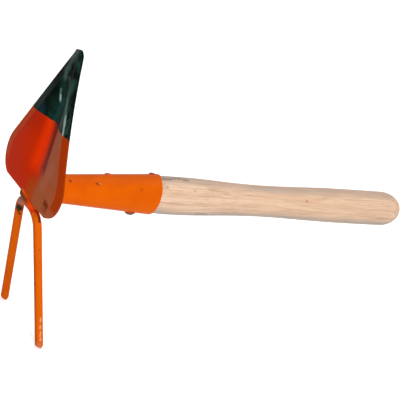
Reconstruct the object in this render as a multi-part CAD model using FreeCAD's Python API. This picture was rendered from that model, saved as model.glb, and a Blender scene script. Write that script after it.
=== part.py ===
import FreeCAD, Part
import math
import os

# Double hoe: a heart-shaped blade with a pressed rib and a two-tined fork, welded to one rolled socket on a short
# turned ash handle.
# Millimetres. X runs along the handle away from the head, Y across, Z up towards the blade's tip.
# The sizes are laid out from the point where the socket's axis meets the back of the blade. The finished pieces are
# then moved along X, so that the origin lies on the axis in the middle of the straight stretch of the grip.

# Blade, in its own flat view: height above the base edge, half widths to each side
blade_length = 129.2
blade_half_width = 53.6
base_half_width = 38.2
lobe_radius = 22.3
tip_radius = 8.0
blade_thickness = 2.5
edge_hollow = 1.3
bevel_width = 9.0
bevel_depth = 1.3
rib_depth = 5.3
rib_bell = 14.5
blade_bow = 2.15
blade_lean = 4.1
base_drop = 7.2

# Shares of the blade's length at which its section is drawn, and the shares of the rib and bevel reached there
station_shares = (-0.09, 0.0, 0.05, 0.1, 0.16, 0.24, 0.34, 0.45, 0.58, 0.7, 0.8, 0.9, 1.02)
rib_shares = (0.0, 0.0, 0.02, 0.14, 0.4, 0.78, 0.98, 1.0, 0.94, 0.76, 0.5, 0.24, 0.04)
bevel_shares = (0.0, 0.0, 0.35, 0.75, 1.0, 1.0, 1.0, 1.0, 1.0, 1.0, 1.0, 1.0, 1.0)
across_shares = (-1.0, -0.78, -0.56, -0.38, -0.2, 0.0, 0.2, 0.38, 0.56, 0.78, 1.0)
narrow_bell_share = 0.42
narrow_bevel_share = 0.6

# Socket, a cone rolled from sheet; its seam is turned from the top by an angle about the axis
socket_length = 112.1
mouth_radius = 17.15
nose_radius = 10.3
socket_wall = 1.5
mouth_slant = 8.5
seam_gap = 0.5
seam_turn = 24.0
rim_shares = (0.0, 0.2, 0.4, 0.6, 0.8, 1.0)

# Fork, one round bar bent to a U
bar_radius = 3.6
tine_tip_radius = 3.45
crown_back = 3.8
crown_drop = 15.9
crown_half_length = 4.4
bend_radius = 14.6
tine_length = 105.3
tine_land = 1.0
tine_splay = 10.8
fork_lean = 13.0
chisel_angle = 55.0

# Handle, turned ash; runs along X from the socket's mouth, short side, and the radii reached there
spigot_start = 14.0
spigot_clearance = 0.1
shoulder_radius = 16.35
neck_run = 44.5
neck_radius = 16.1
taper_run = 77.5
taper_radius = 14.75
waist_run = 113.5
waist_radius = 13.85
rise_run = 148.5
rise_radius = 14.4
swell_run = 184.5
swell_radius = 15.4
grip_run = 220.5
grip_length = 33.0
grip_radius = 15.75
dome_length = 21.7
dome_share = 0.57
spigot_chamfer = 1.5

# Nails that hold the handle, each set in from the mouth on its own side, and the tack that closes the seam
top_nail_inset = 7.2
top_nail_head_radius = 2.9
top_nail_head_height = 1.4
top_nail_shank_radius = 1.3
bottom_nail_inset = 17.1
bottom_nail_head_radius = 4.4
bottom_nail_head_height = 2.5
bottom_nail_shank_radius = 1.7
nail_depth = 19.0
nail_point = 4.0
nail_clearance = 0.05
tack_share = 0.628
tack_radius = 3.0
tack_height = 1.1

# Weld beads
ring_bead_radius = 3.2
crown_bead_half_length = 12.0
crown_bead_radius = 5.0
crown_bead_back = -0.4
crown_bead_drop = 9.4

# How far every cutting shape runs past what it cuts
overrun = 2.0

# Places along X from the blade that follow from the sizes above
top_nail_place = socket_length + mouth_slant - top_nail_inset
bottom_nail_place = socket_length - bottom_nail_inset
tack_place = socket_length * tack_share
grip_start = socket_length + grip_run
grip_end = grip_start + grip_length
handle_end = grip_end + dome_length

X_AXIS = FreeCAD.Vector(1, 0, 0)
Y_AXIS = FreeCAD.Vector(0, 1, 0)
Z_AXIS = FreeCAD.Vector(0, 0, 1)
ORIGIN = FreeCAD.Vector(0, 0, 0)
FULL_TURN = 360.0


def vec(x, y, z):
    return FreeCAD.Vector(x, y, z)


def line(start, end):
    return Part.LineSegment(start, end).toShape()


def arc(start, middle, end):
    return Part.Arc(start, middle, end).toShape()


def spline(points):
    curve = Part.BSplineCurve()
    curve.interpolate(points)
    return curve.toShape()


def turned(edges):
    """A solid of revolution about the X axis from a closed run of edges in the XY plane."""
    return Part.Face(Part.Wire(edges)).revolve(ORIGIN, X_AXIS, FULL_TURN)


def turn_seam(shape):
    """Turns a piece that was drawn with the socket's seam on top."""
    shape.rotate(ORIGIN, X_AXIS, -seam_turn)
    return shape


def half_space(point, normal, size):
    """A block that fills the side of a plane towards which its normal points."""
    block = Part.makeBox(size + size, size + size, size, vec(-size, -size, 0))
    block.Placement = FreeCAD.Placement(point, FreeCAD.Rotation(Z_AXIS, normal))
    return block


# Blade outline


def lobe_centre():
    """Half width and height of the centre of a lobe's arc, which ends on the base edge's corner."""
    across = blade_half_width - lobe_radius
    return across, math.sqrt(lobe_radius ** 2 - (base_half_width - across) ** 2)


def edge_angle():
    """Angle of the straight cutting edge, the common tangent of the lobe's and the tip's arcs, from the height."""
    across, height = lobe_centre()
    rise = blade_length - tip_radius - height
    return math.atan2(across, rise) + math.asin((lobe_radius - tip_radius) / math.hypot(across, rise))


def half_width(height):
    """Half the blade's width at a height: the lobe's arc, then the straight edge run on past the tip's arc."""
    across, centre = lobe_centre()
    angle = edge_angle()
    tangent_height = centre + lobe_radius * math.sin(angle)
    if height < tangent_height:
        rise = max(height, 0) - centre
        return across + math.sqrt(lobe_radius ** 2 - rise ** 2)
    tangent_half_width = across + lobe_radius * math.cos(angle)
    share = (height - tangent_height) / (blade_length - tangent_height)
    straight = tangent_half_width - (height - tangent_height) * math.tan(angle)
    return straight - edge_hollow * 4 * share * max(1 - share, 0)


def outline_points(side):
    """The outline's points on one side: base corner, lobe, start, middle and end of the hollow edge."""
    across, centre = lobe_centre()
    angle = edge_angle()
    tip_centre = blade_length - tip_radius
    corner = vec(0, side * base_half_width, 0)
    lobe = vec(0, side * blade_half_width, centre)
    tangent = vec(0, side * (across + lobe_radius * math.cos(angle)), centre + lobe_radius * math.sin(angle))
    edge_end = vec(0, side * tip_radius * math.cos(angle), tip_centre + tip_radius * math.sin(angle))
    hollow = (tangent + edge_end) * 0.5 - vec(0, side * edge_hollow * math.cos(angle), edge_hollow * math.sin(angle))
    return corner, lobe, tangent, hollow, edge_end


def outline_prism():
    """The blade's outline cut straight through, deeper than the rib."""
    corner, lobe, tangent, hollow, edge_end = outline_points(1)
    left_corner, left_lobe, left_tangent, left_hollow, left_edge_end = outline_points(-1)
    tip = vec(0, 0, blade_length)
    edges = [
        line(left_corner, corner),
        arc(corner, lobe, tangent),
        arc(tangent, hollow, edge_end),
        arc(edge_end, tip, left_edge_end),
        arc(left_edge_end, left_hollow, left_tangent),
        arc(left_tangent, left_lobe, left_corner),
    ]
    face = Part.Face(Part.Wire(edges))
    front = overrun + blade_bow
    face.translate(vec(-front, 0, 0))
    return face.extrude(vec(front + rib_depth + blade_thickness + overrun, 0, 0))


# Blade sheet


def sheet_section(length_share, rib_share, bevel_share, front):
    """A closed section across the pressed sheet. Its front is bevelled towards both edges and bell-shaped between
    them; front moves that face forward, and at zero the section is as thick as the sheet."""
    height = length_share * blade_length
    width = half_width(height)
    bevel = min(bevel_width, narrow_bevel_share * width)
    bell = min(rib_bell, narrow_bell_share * width)
    land = width - bevel
    bow = -4 * blade_bow * length_share * (1 - length_share)

    def depth(across):
        return bow + rib_share * rib_depth * math.exp(-((across / bell) ** 2))

    inner = depth(land)
    spare = overrun * bevel / bevel_width
    outer = inner + (bow + bevel_share * bevel_depth - inner) * (bevel + spare) / bevel
    reach = width + spare
    front_run = [vec(depth(share * land) - front, share * land, height) for share in across_shares]
    back_run = [vec(depth(share * reach) + blade_thickness, share * reach, height) for share in across_shares]
    left = vec(outer - front, -reach, height)
    right = vec(outer - front, reach, height)
    return Part.Wire([
        line(left, front_run[0]),
        spline(front_run),
        line(front_run[-1], right),
        line(right, back_run[-1]),
        spline(back_run[::-1]),
        line(back_run[0], left),
    ])


def sheet(front):
    """The pressed sheet as a loft through its sections, wider and longer than the outline."""
    stations = zip(station_shares, rib_shares, bevel_shares)
    return Part.makeLoft([sheet_section(*station, front) for station in stations], True, False)


def lean_blade(shape):
    """Stands the flat blade up: leaning towards the handle, its back on the socket's axis at X zero."""
    lean = math.radians(blade_lean)
    shape.translate(vec(-blade_thickness, 0, -base_drop / math.cos(lean)))
    shape.rotate(ORIGIN, Y_AXIS, blade_lean)
    return shape


def make_blade():
    return lean_blade(sheet(0).common(outline_prism()))


def blade_room():
    """Everything from well in front of the blade to its back face, below its base edge too."""
    return lean_blade(sheet(socket_length / 4))


# Socket


def cone_radius(place):
    """The socket's outer radius at a place along its axis."""
    return nose_radius + (mouth_radius - nose_radius) * place / socket_length


def cone(start, end, inset):
    """A solid cone along the socket, drawn in from its outer face by inset."""
    start_radius = cone_radius(start) - inset
    end_radius = cone_radius(end) - inset
    return Part.makeCone(start_radius, end_radius, end - start, vec(start, 0, 0), X_AXIS)


def mouth_cutter():
    """What lies beyond the mouth. A cone rolled from a straight-cut blank stands out furthest at its seam, as the
    square of the turn from the bottom."""
    reach = mouth_radius + overrun
    far = socket_length + mouth_slant + mouth_radius
    rim = []
    for share in rim_shares:
        turn = share * math.pi
        rim.append(vec(socket_length + mouth_slant * share ** 2, 0, -reach * math.cos(turn)))
    edges = [
        spline(rim),
        line(rim[-1], vec(far, 0, reach)),
        line(vec(far, 0, reach), vec(far, 0, -reach)),
        line(vec(far, 0, -reach), rim[0]),
    ]
    face = Part.Face(Part.Wire(edges))
    face.translate(vec(0, -reach, 0))
    return face.extrude(vec(0, reach + reach, 0))


def nail_room(place, side, shank_radius):
    """The hole that a nail of this shank fills."""
    length = mouth_radius + overrun
    return Part.makeCylinder(shank_radius + nail_clearance, length, vec(place, 0, 0), vec(0, 0, side))


def make_socket(room):
    start = -nose_radius
    end = socket_length + mouth_slant + overrun
    shell = cone(start, end, 0).cut(cone(start, end, socket_wall))
    shell = shell.cut(mouth_cutter())
    seam = Part.makeBox(end - start, seam_gap, mouth_radius + overrun, vec(start, -seam_gap / 2, 0))
    shell = shell.cut(seam)
    shell = shell.cut(nail_room(top_nail_place, 1, top_nail_shank_radius))
    shell = shell.cut(nail_room(bottom_nail_place, -1, bottom_nail_shank_radius))
    return turn_seam(shell).cut(room)


# Fork


def fork_plane(shape):
    """Leans the fork's flat shape back under the socket and drops its crown below the axis."""
    shape.rotate(ORIGIN, Y_AXIS, -fork_lean)
    shape.translate(vec(crown_back, 0, -crown_drop))
    return shape


def bend_end():
    """Half width and drop at which the crown's bend ends and a tine starts, and the tine's direction."""
    splay = math.radians(tine_splay)
    turn = math.pi / 2 - splay
    across = crown_half_length + bend_radius * math.sin(turn)
    drop = bend_radius * (1 - math.cos(turn))
    return across, drop, math.sin(splay), math.cos(splay)


def crown_path():
    """The crown's centre line: a short straight run between two bends."""
    across, drop, _, _ = bend_end()
    half_turn = (math.pi / 2 - math.radians(tine_splay)) / 2
    mid_across = crown_half_length + bend_radius * math.sin(half_turn)
    mid_drop = bend_radius * (1 - math.cos(half_turn))
    left_end = vec(0, -across, -drop)
    left_start = vec(0, -crown_half_length, 0)
    right_start = vec(0, crown_half_length, 0)
    right_end = vec(0, across, -drop)
    return Part.Wire([
        arc(left_end, vec(0, -mid_across, -mid_drop), left_start),
        line(left_start, right_start),
        arc(right_start, vec(0, mid_across, -mid_drop), right_end),
    ])


def tine(side):
    """One tapered leg of the bar, cut from the front and the back to a chisel edge across its end."""
    across, drop, run_across, run_down = bend_end()
    start = vec(0, side * across, -drop)
    direction = vec(0, side * run_across, -run_down)
    leg = Part.makeCone(bar_radius, tine_tip_radius, tine_length, start, direction)
    edge = start + direction * tine_length
    angle = math.radians(chisel_angle)
    front = direction * math.sin(angle) - X_AXIS * math.cos(angle)
    back = direction * math.sin(angle) + X_AXIS * math.cos(angle)
    land = X_AXIS * (tine_land / 2)
    leg = leg.cut(half_space(edge - land, front, tine_length))
    return leg.cut(half_space(edge + land, back, tine_length))


def make_fork():
    across, drop, run_across, run_down = bend_end()
    start = vec(0, -across, -drop)
    profile = Part.Wire(Part.Circle(start, vec(0, run_across, run_down), bar_radius).toShape())
    crown = crown_path().makePipeShell([profile], True, False)
    bar = crown.fuse([tine(-1), tine(1)])
    return fork_plane(bar.removeSplitter())


# Handle


def handle_profile():
    """The handle's half outline: the spigot's cone run on to the shoulder, a waist, the grip and a domed end."""
    spigot_radius = cone_radius(spigot_start) - socket_wall - spigot_clearance
    slope = (mouth_radius - nose_radius) / socket_length
    shoulder_place = spigot_start + (shoulder_radius - spigot_radius) / slope
    tip = vec(spigot_start, 0, 0)
    bevel_low = vec(spigot_start, spigot_radius - spigot_chamfer, 0)
    bevel_high = vec(spigot_start + spigot_chamfer, spigot_radius + slope * spigot_chamfer, 0)
    shoulder = vec(shoulder_place, shoulder_radius, 0)
    grip_from = vec(grip_start, grip_radius, 0)
    grip_to = vec(grip_end, grip_radius, 0)
    end = vec(handle_end, 0, 0)
    body = Part.BSplineCurve()
    points = [
        shoulder,
        vec(socket_length + neck_run, neck_radius, 0),
        vec(socket_length + taper_run, taper_radius, 0),
        vec(socket_length + waist_run, waist_radius, 0),
        vec(socket_length + rise_run, rise_radius, 0),
        vec(socket_length + swell_run, swell_radius, 0),
        grip_from,
    ]
    body.interpolate(Points=points, InitialTangent=X_AXIS, FinalTangent=X_AXIS)
    dome = Part.BezierCurve()
    dome.setPoles([
        grip_to,
        vec(grip_end + dome_share * dome_length, grip_radius, 0),
        vec(handle_end, dome_share * grip_radius, 0),
        end,
    ])
    return [
        line(tip, bevel_low),
        line(bevel_low, bevel_high),
        line(bevel_high, shoulder),
        body.toShape(),
        line(grip_from, grip_to),
        dome.toShape(),
        line(end, tip),
    ]


def make_handle():
    wood = turned(handle_profile())
    top = nail(top_nail_place, 1, top_nail_head_radius, top_nail_head_height,
               top_nail_shank_radius + nail_clearance, nail_clearance)
    bottom = nail(bottom_nail_place, -1, bottom_nail_head_radius, bottom_nail_head_height,
                  bottom_nail_shank_radius + nail_clearance, nail_clearance)
    return turn_seam(wood.cut(top).cut(bottom))


# Nails, tack and welds


def nail(place, side, head_radius, head_height, shank_radius, spare):
    """A nail driven square to the axis: domed head on the socket, shank and point in the wood."""
    seat = cone_radius(place)
    top = seat + head_height
    point = seat - nail_depth - spare
    shoulder = point + nail_point
    bed = math.sqrt(cone_radius(place - head_radius) ** 2 - head_radius ** 2)
    rim = seat + head_height / 3
    rise = top - rim
    ball_radius = (head_radius ** 2 + rise ** 2) / (rise + rise)
    half_angle = math.asin(head_radius / ball_radius) / 2
    middle = vec(top - ball_radius + ball_radius * math.cos(half_angle), ball_radius * math.sin(half_angle), 0)
    edges = [
        line(vec(point, 0, 0), vec(shoulder, shank_radius, 0)),
        line(vec(shoulder, shank_radius, 0), vec(bed, shank_radius, 0)),
        line(vec(bed, shank_radius, 0), vec(bed, head_radius, 0)),
        line(vec(bed, head_radius, 0), vec(rim, head_radius, 0)),
        arc(vec(rim, head_radius, 0), middle, vec(top, 0, 0)),
        line(vec(top, 0, 0), vec(point, 0, 0)),
    ]
    shape = turned(edges)
    shape.rotate(ORIGIN, Y_AXIS, -side * FULL_TURN / 4)
    shape.translate(vec(place, 0, 0))
    return shape


def make_nail(place, side, head_radius, head_height, shank_radius):
    """The nail with the underside of its head fitted to the round of the socket."""
    whole = nail(place, side, head_radius, head_height, shank_radius, 0)
    shank = Part.makeCylinder(shank_radius, mouth_radius + overrun, vec(place, 0, 0), vec(0, 0, side))
    bed = cone(place - head_radius * 2, place + head_radius * 2, 0).cut(shank)
    return turn_seam(whole.cut(bed))


def round_ended_bead(half_length, radius, centre):
    """A bead of weld metal along Y, round in section and at both ends."""
    straight = half_length - radius
    body = Part.makeCylinder(radius, straight + straight, vec(0, -straight, 0), Y_AXIS)
    left = Part.makeSphere(radius, vec(0, -straight, 0))
    right = Part.makeSphere(radius, vec(0, straight, 0))
    bead = body.fuse([left, right]).removeSplitter()
    bead.translate(centre)
    return bead


def make_tack():
    """The tack that closes the seam: a low button of weld metal that also fills the gap under it."""
    seat = cone_radius(tack_place)
    rise = (tack_radius ** 2 - tack_height ** 2) / (2 * tack_height)
    ball = Part.makeSphere(rise + tack_height, vec(tack_place, 0, seat - rise))
    inside = cone(tack_place - tack_radius * 2, tack_place + tack_radius * 2, socket_wall)
    body = cone(tack_place - tack_radius * 2, tack_place + tack_radius * 2, 0)
    seam = Part.makeBox(tack_radius * 2, seam_gap, mouth_radius, vec(tack_place - tack_radius, -seam_gap / 2, 0))
    upper = ball.cut(body)
    filling = ball.common(seam).cut(inside).common(body)
    return turn_seam(upper.fuse(filling).removeSplitter())


def make_blade_weld(room):
    """The fillet bead that runs round the socket's nose on the back of the blade, down to the base edge."""
    ring = Part.makeTorus(nose_radius, ring_bead_radius, ORIGIN, X_AXIS)
    ring.rotate(ORIGIN, Y_AXIS, blade_lean)
    above = half_space(vec(0, 0, -base_drop), Z_AXIS, socket_length)
    return ring.common(above).cut(room).cut(cone(-nose_radius, socket_length, 0))


def make_crown_weld(blade, fork, blade_weld):
    """The bead that fills the corner between the blade's base edge, the nose of the socket and the fork's crown."""
    centre = vec(crown_bead_back, 0, -crown_bead_drop)
    bead = round_ended_bead(crown_bead_half_length, crown_bead_radius, centre)
    return bead.cut(cone(-nose_radius, socket_length, 0)).cut(blade).cut(fork).cut(blade_weld)


def write(name, shape):
    """Moves a piece so that the origin lies in the middle of the grip, checks it and writes it."""
    shape.translate(vec(-(grip_start + grip_end) / 2, 0, 0))
    print(name, "solids", len(shape.Solids), "valid", shape.isValid(), "volume", round(shape.Volume, 1))
    shape.exportStep(os.path.join("parts", name + ".step"))


def main():
    os.makedirs("parts", exist_ok=True)
    blade = make_blade()
    fork = make_fork()
    room = blade_room()
    blade_weld = make_blade_weld(room)
    pieces = {
        "socket": make_socket(room),
        "handle": make_handle(),
        "top_nail": make_nail(top_nail_place, 1, top_nail_head_radius, top_nail_head_height,
                              top_nail_shank_radius),
        "bottom_nail": make_nail(bottom_nail_place, -1, bottom_nail_head_radius, bottom_nail_head_height,
                                 bottom_nail_shank_radius),
        "seam_tack": make_tack(),
        "blade_weld": blade_weld,
        "crown_weld": make_crown_weld(blade, fork, blade_weld),
        "blade": blade,
        "fork": fork,
    }
    for name, shape in pieces.items():
        write(name, shape)


main()
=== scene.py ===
"""Looks of a short double hoe: a ribbed heart-shaped blade and a two-tined fork on one rolled socket.

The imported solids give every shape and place. The weld beads, the tack and the nails, whose metal is
rougher than the solids', are modelled again here, and every piece gets a procedural finish. Lengths are
in metres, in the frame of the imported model: X along the handle from the head to its rounded end, Y
across, Z up towards the blade's tip. Finishes and small details are laid out in millimetres in the same
frame.
"""

import logging
import math
from abc import ABC, abstractmethod
from collections.abc import Mapping
from dataclasses import dataclass
from enum import Enum
from functools import cached_property
from typing import Any

import bmesh
import bpy
from mathutils import Matrix, Vector, noise


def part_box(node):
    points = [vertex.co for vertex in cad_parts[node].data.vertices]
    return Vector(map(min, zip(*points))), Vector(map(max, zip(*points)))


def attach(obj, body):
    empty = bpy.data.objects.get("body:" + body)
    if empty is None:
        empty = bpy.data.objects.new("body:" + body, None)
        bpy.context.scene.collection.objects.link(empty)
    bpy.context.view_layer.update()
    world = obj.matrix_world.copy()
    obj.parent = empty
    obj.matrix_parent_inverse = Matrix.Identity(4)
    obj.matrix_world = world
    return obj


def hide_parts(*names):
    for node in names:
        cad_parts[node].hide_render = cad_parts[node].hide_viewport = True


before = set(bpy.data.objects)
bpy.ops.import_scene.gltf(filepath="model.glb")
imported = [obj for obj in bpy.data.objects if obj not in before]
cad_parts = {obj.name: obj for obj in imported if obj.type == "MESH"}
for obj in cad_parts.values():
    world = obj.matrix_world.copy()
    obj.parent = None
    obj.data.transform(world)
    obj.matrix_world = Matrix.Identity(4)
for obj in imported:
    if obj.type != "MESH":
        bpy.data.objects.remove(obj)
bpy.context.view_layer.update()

log = logging.getLogger("double_hoe")

MM = 0.001
BODY = "root"

Triple = tuple[float, float, float]
Colour = tuple[float, float, float, float]

# What a node's input takes: a value, or the output that feeds it
Source = bpy.types.NodeSocket | Vector | Triple | Colour | float
NodeInputs = Mapping[str | int, Source]

# Places of the Mix node's sockets when it mixes colours
MIX_FACTOR = 0
MIX_A = 6
MIX_B = 7
MIX_RESULT = 2

WHITE: Colour = (1.0, 1.0, 1.0, 1.0)
NOISE_DETAIL = 3.0

ACROSS: Triple = (0.0, 1.0, 0.0)
ALONG: Triple = (1.0, 0.0, 0.0)
UP: Triple = (0.0, 0.0, 1.0)
DOWN: Triple = (0.0, 0.0, -1.0)

# Keeps what lies across the wood's grain, which runs along X
ACROSS_GRAIN: Triple = (0.0, 1.0, 1.0)


class Slot(Enum):
    """The record's material slots."""

    BLADE_ENAMEL = "blade_enamel"
    ENAMEL = "enamel"
    ASH = "ash"
    NAIL_STEEL = "nail_steel"


class Measure(Enum):
    """What a fade goes by."""

    PLACE = "place in millimetres"
    FACING = "direction in which the surface faces"
    OUTWARD = "direction in which it faces, with Y counted away from the middle"


class Side(Enum):
    """The side of the socket that a nail is driven into."""

    TOP = 1
    UNDERNEATH = -1


def linear_colour(code: str) -> Colour:
    """Turn an sRGB hex code into a linear colour.

    Args:
        code: Six hex digits after a hash sign.

    Returns:
        Linear red, green and blue with full opacity.
    """
    channels = []
    for start in (1, 3, 5):
        value = int(code[start : start + 2], 16) / 255
        # The curve of the sRGB standard
        channels.append(value / 12.92 if value <= 0.04045 else ((value + 0.055) / 1.055) ** 2.4)
    return (channels[0], channels[1], channels[2], 1.0)


def soft_noise(place: Vector, size_mm: float) -> float:
    """Look up smooth noise, the same at each run.

    Args:
        place: Where, in millimetres.
        size_mm: How wide its lumps are.

    Returns:
        A number from zero to one.
    """
    return (1 + noise.noise(place / size_mm)) / 2


def add_node(tree: bpy.types.NodeTree, kind: str, inputs: NodeInputs, **settings: Any) -> bpy.types.Node:
    """Add a node, with its settings, and its inputs set or linked.

    Args:
        tree: The tree that gets the node.
        kind: The node's type name.
        inputs: For each input, a value or the output that feeds it.
        **settings: Properties of the node itself.

    Returns:
        The new node.
    """
    node = tree.nodes.new(kind)
    for name, value in settings.items():
        setattr(node, name, value)
    for key, source in inputs.items():
        socket = node.inputs[key]
        if isinstance(source, bpy.types.NodeSocket):
            tree.links.new(source, socket)
        else:
            socket.default_value = source
    return node


def seen_directly(tree: bpy.types.NodeTree) -> bpy.types.NodeSocket:
    """Tell the rays that look at a backdrop from those that light the object.

    Args:
        tree: The backdrop's tree.

    Returns:
        An output that is one for rays from the camera, also by way of gloss or glass, and else zero.
    """
    rays = add_node(tree, "ShaderNodeLightPath", {}).outputs
    seen = rays["Is Camera Ray"]
    for passed_on in ("Is Glossy Ray", "Is Transmission Ray"):
        pair = {0: seen, 1: rays[passed_on]}
        seen = add_node(tree, "ShaderNodeMath", pair, operation="MAXIMUM").outputs["Value"]
    return seen


@dataclass(frozen=True)
class Fade:
    """A soft step of a measure, taken along a direction: nothing where it is at clear, all at full."""

    measure: Measure
    along: Triple
    clear: float
    full: float


@dataclass(frozen=True)
class Patches:
    """Soft patches of noise: their size along each axis, and the noise at which they begin and are whole."""

    size_mm: Triple
    low: float
    high: float
    detail: float = NOISE_DETAIL


@dataclass(frozen=True)
class Mark:
    """A spot, or a stroke where it has an end: its places and its half width in millimetres."""

    start: Triple
    reach: float
    end: Triple | None = None


@dataclass(frozen=True)
class Coat:
    """A colour laid over the ones before it, where all of its fades, its patches and one of its marks are.

    The grit is the size of the raggedness of the marks' rims, ragged is how far the rims wander and rim
    how softly they fade, both as a share of a mark's half width. The rise is how far the coat stands
    proud of the surface.
    """

    colour: str
    strength: float = 1.0
    fades: tuple[Fade, ...] = ()
    patches: Patches | None = None
    marks: tuple[Mark, ...] = ()
    grit_mm: float = 1.5
    ragged: float = 0.3
    rim: float = 0.6
    rise_mm: float = 0.0
    roughness: float | None = None


def stroke(points: tuple[Triple, ...], reaches: tuple[float, ...]) -> tuple[Mark, ...]:
    """Draw a stroke that bends.

    Args:
        points: The places that it runs through, in millimetres.
        reaches: The half width of each stretch between them.

    Returns:
        A mark for each stretch.
    """
    return tuple(Mark(start, reach, end) for start, reach, end in zip(points, reaches, points[1:]))


class Surface:
    """A material under construction, with the roughness and the height that its coats have given it."""

    def __init__(self, name: str, roughness: float) -> None:
        """Start the material with an empty tree.

        Args:
            name: The material's name.
            roughness: The roughness before any coat.
        """
        self.material = bpy.data.materials.new(name)
        self.material.use_nodes = True
        self.tree = self.material.node_tree
        self.tree.nodes.clear()
        self.roughness: Source = roughness
        self.height: Source = 0.0

    def add(self, kind: str, inputs: NodeInputs, **settings: Any) -> bpy.types.Node:
        """Add a node to the material, as add_node does."""
        return add_node(self.tree, kind, inputs, **settings)

    @cached_property
    def place(self) -> bpy.types.NodeSocket:
        """Give the place of each point, in millimetres."""
        metres = {0: self.add("ShaderNodeTexCoord", {}).outputs["Object"], "Scale": 1 / MM}
        return self.add("ShaderNodeVectorMath", metres, operation="SCALE").outputs["Vector"]

    @cached_property
    def facing(self) -> bpy.types.NodeSocket:
        """Give the direction in which the surface faces."""
        return self.add("ShaderNodeNewGeometry", {}).outputs["Normal"]

    @cached_property
    def outward(self) -> bpy.types.NodeSocket:
        """Give the direction in which it faces, with Y counted away from the middle."""
        across = self.add("ShaderNodeVectorMath", {0: self.place, 1: ACROSS}, operation="MULTIPLY")
        side = self.add("ShaderNodeVectorMath", {0: across.outputs["Vector"]}, operation="SIGN")
        pair = {0: self.facing, 1: side.outputs["Vector"]}
        return self.add("ShaderNodeVectorMath", pair, operation="MULTIPLY").outputs["Vector"]

    def measured(self, measure: Measure) -> bpy.types.NodeSocket:
        """Get what a fade goes by.

        Args:
            measure: The kind of measure.

        Returns:
            The output that gives it.
        """
        if measure is Measure.PLACE:
            return self.place
        if measure is Measure.FACING:
            return self.facing
        return self.outward

    def faded(self, fade: Fade) -> bpy.types.NodeSocket:
        """Work out a fade.

        Args:
            fade: The fade.

        Returns:
            Its cover, from zero to one.
        """
        pair = {0: self.measured(fade.measure), 1: fade.along}
        amount = self.add("ShaderNodeVectorMath", pair, operation="DOT_PRODUCT").outputs["Value"]
        bounds = {"Value": amount, "From Min": fade.clear, "From Max": fade.full}
        step = self.add("ShaderNodeMapRange", bounds, interpolation_type="SMOOTHSTEP")
        return step.outputs["Result"]

    def mottled(self, patches: Patches) -> bpy.types.NodeSocket:
        """Work out soft patches.

        Args:
            patches: Their size and bounds.

        Returns:
            Their cover, from zero to one.
        """
        sizes = {0: self.place, 1: patches.size_mm}
        stretched = self.add("ShaderNodeVectorMath", sizes, operation="DIVIDE").outputs["Vector"]
        cloud = self.add("ShaderNodeTexNoise", {"Vector": stretched, "Scale": 1.0, "Detail": patches.detail})
        bounds = {"Value": cloud.outputs["Fac"], "From Min": patches.low, "From Max": patches.high}
        spread = self.add("ShaderNodeMapRange", bounds, interpolation_type="SMOOTHSTEP")
        return spread.outputs["Result"]

    def distance(self, mark: Mark) -> bpy.types.NodeSocket:
        """Work out how far the surface is from a mark's middle line.

        Args:
            mark: The spot or stroke.

        Returns:
            The distance, as a share of the mark's half width.
        """
        from_start = {0: self.place, 1: mark.start}
        gap = self.add("ShaderNodeVectorMath", from_start, operation="SUBTRACT").outputs["Vector"]
        if mark.end is not None:
            run = Vector(mark.end) - Vector(mark.start)
            shares = {0: gap, 1: run / run.length_squared}
            along = self.add("ShaderNodeVectorMath", shares, operation="DOT_PRODUCT").outputs["Value"]
            share = self.add("ShaderNodeClamp", {"Value": along}).outputs["Result"]
            foot = self.add("ShaderNodeVectorMath", {0: run, "Scale": share}, operation="SCALE")
            from_line = {0: gap, 1: foot.outputs["Vector"]}
            gap = self.add("ShaderNodeVectorMath", from_line, operation="SUBTRACT").outputs["Vector"]
        widths = self.add("ShaderNodeVectorMath", {0: gap, "Scale": 1 / mark.reach}, operation="SCALE")
        length = self.add("ShaderNodeVectorMath", {0: widths.outputs["Vector"]}, operation="LENGTH")
        return length.outputs["Value"]

    def marked(self, coat: Coat) -> bpy.types.NodeSocket:
        """Work out where a coat's marks are.

        Args:
            coat: The coat.

        Returns:
            Their cover, from zero to one, with ragged rims.
        """
        nearest = self.distance(coat.marks[0])
        for mark in coat.marks[1:]:
            pair = {0: nearest, 1: self.distance(mark)}
            nearest = self.add("ShaderNodeMath", pair, operation="MINIMUM").outputs["Value"]
        cloud = {"Vector": self.place, "Scale": 1 / coat.grit_mm, "Detail": NOISE_DETAIL}
        grit = self.add("ShaderNodeTexNoise", cloud).outputs["Fac"]
        # The noise averages a half, so a rim that is moved out by half of its swing keeps its mean place
        swing = 4 * coat.ragged
        rim = 1 + swing / 2
        wander = self.add("ShaderNodeMath", {0: grit, 1: swing, 2: nearest}, operation="MULTIPLY_ADD")
        bounds = {"Value": wander.outputs["Value"], "From Min": rim, "From Max": rim - coat.rim}
        cover = self.add("ShaderNodeMapRange", bounds, interpolation_type="SMOOTHSTEP")
        return cover.outputs["Result"]

    def covered(self, coat: Coat) -> Source:
        """Work out where a coat lies.

        Args:
            coat: The coat.

        Returns:
            Its cover, from zero to its strength.
        """
        parts = [self.faded(fade) for fade in coat.fades]
        if coat.patches is not None:
            parts.append(self.mottled(coat.patches))
        if coat.marks:
            parts.append(self.marked(coat))
        cover: Source = coat.strength
        for part in parts:
            cover = self.add("ShaderNodeMath", {0: cover, 1: part}, operation="MULTIPLY").outputs["Value"]
        return cover

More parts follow.
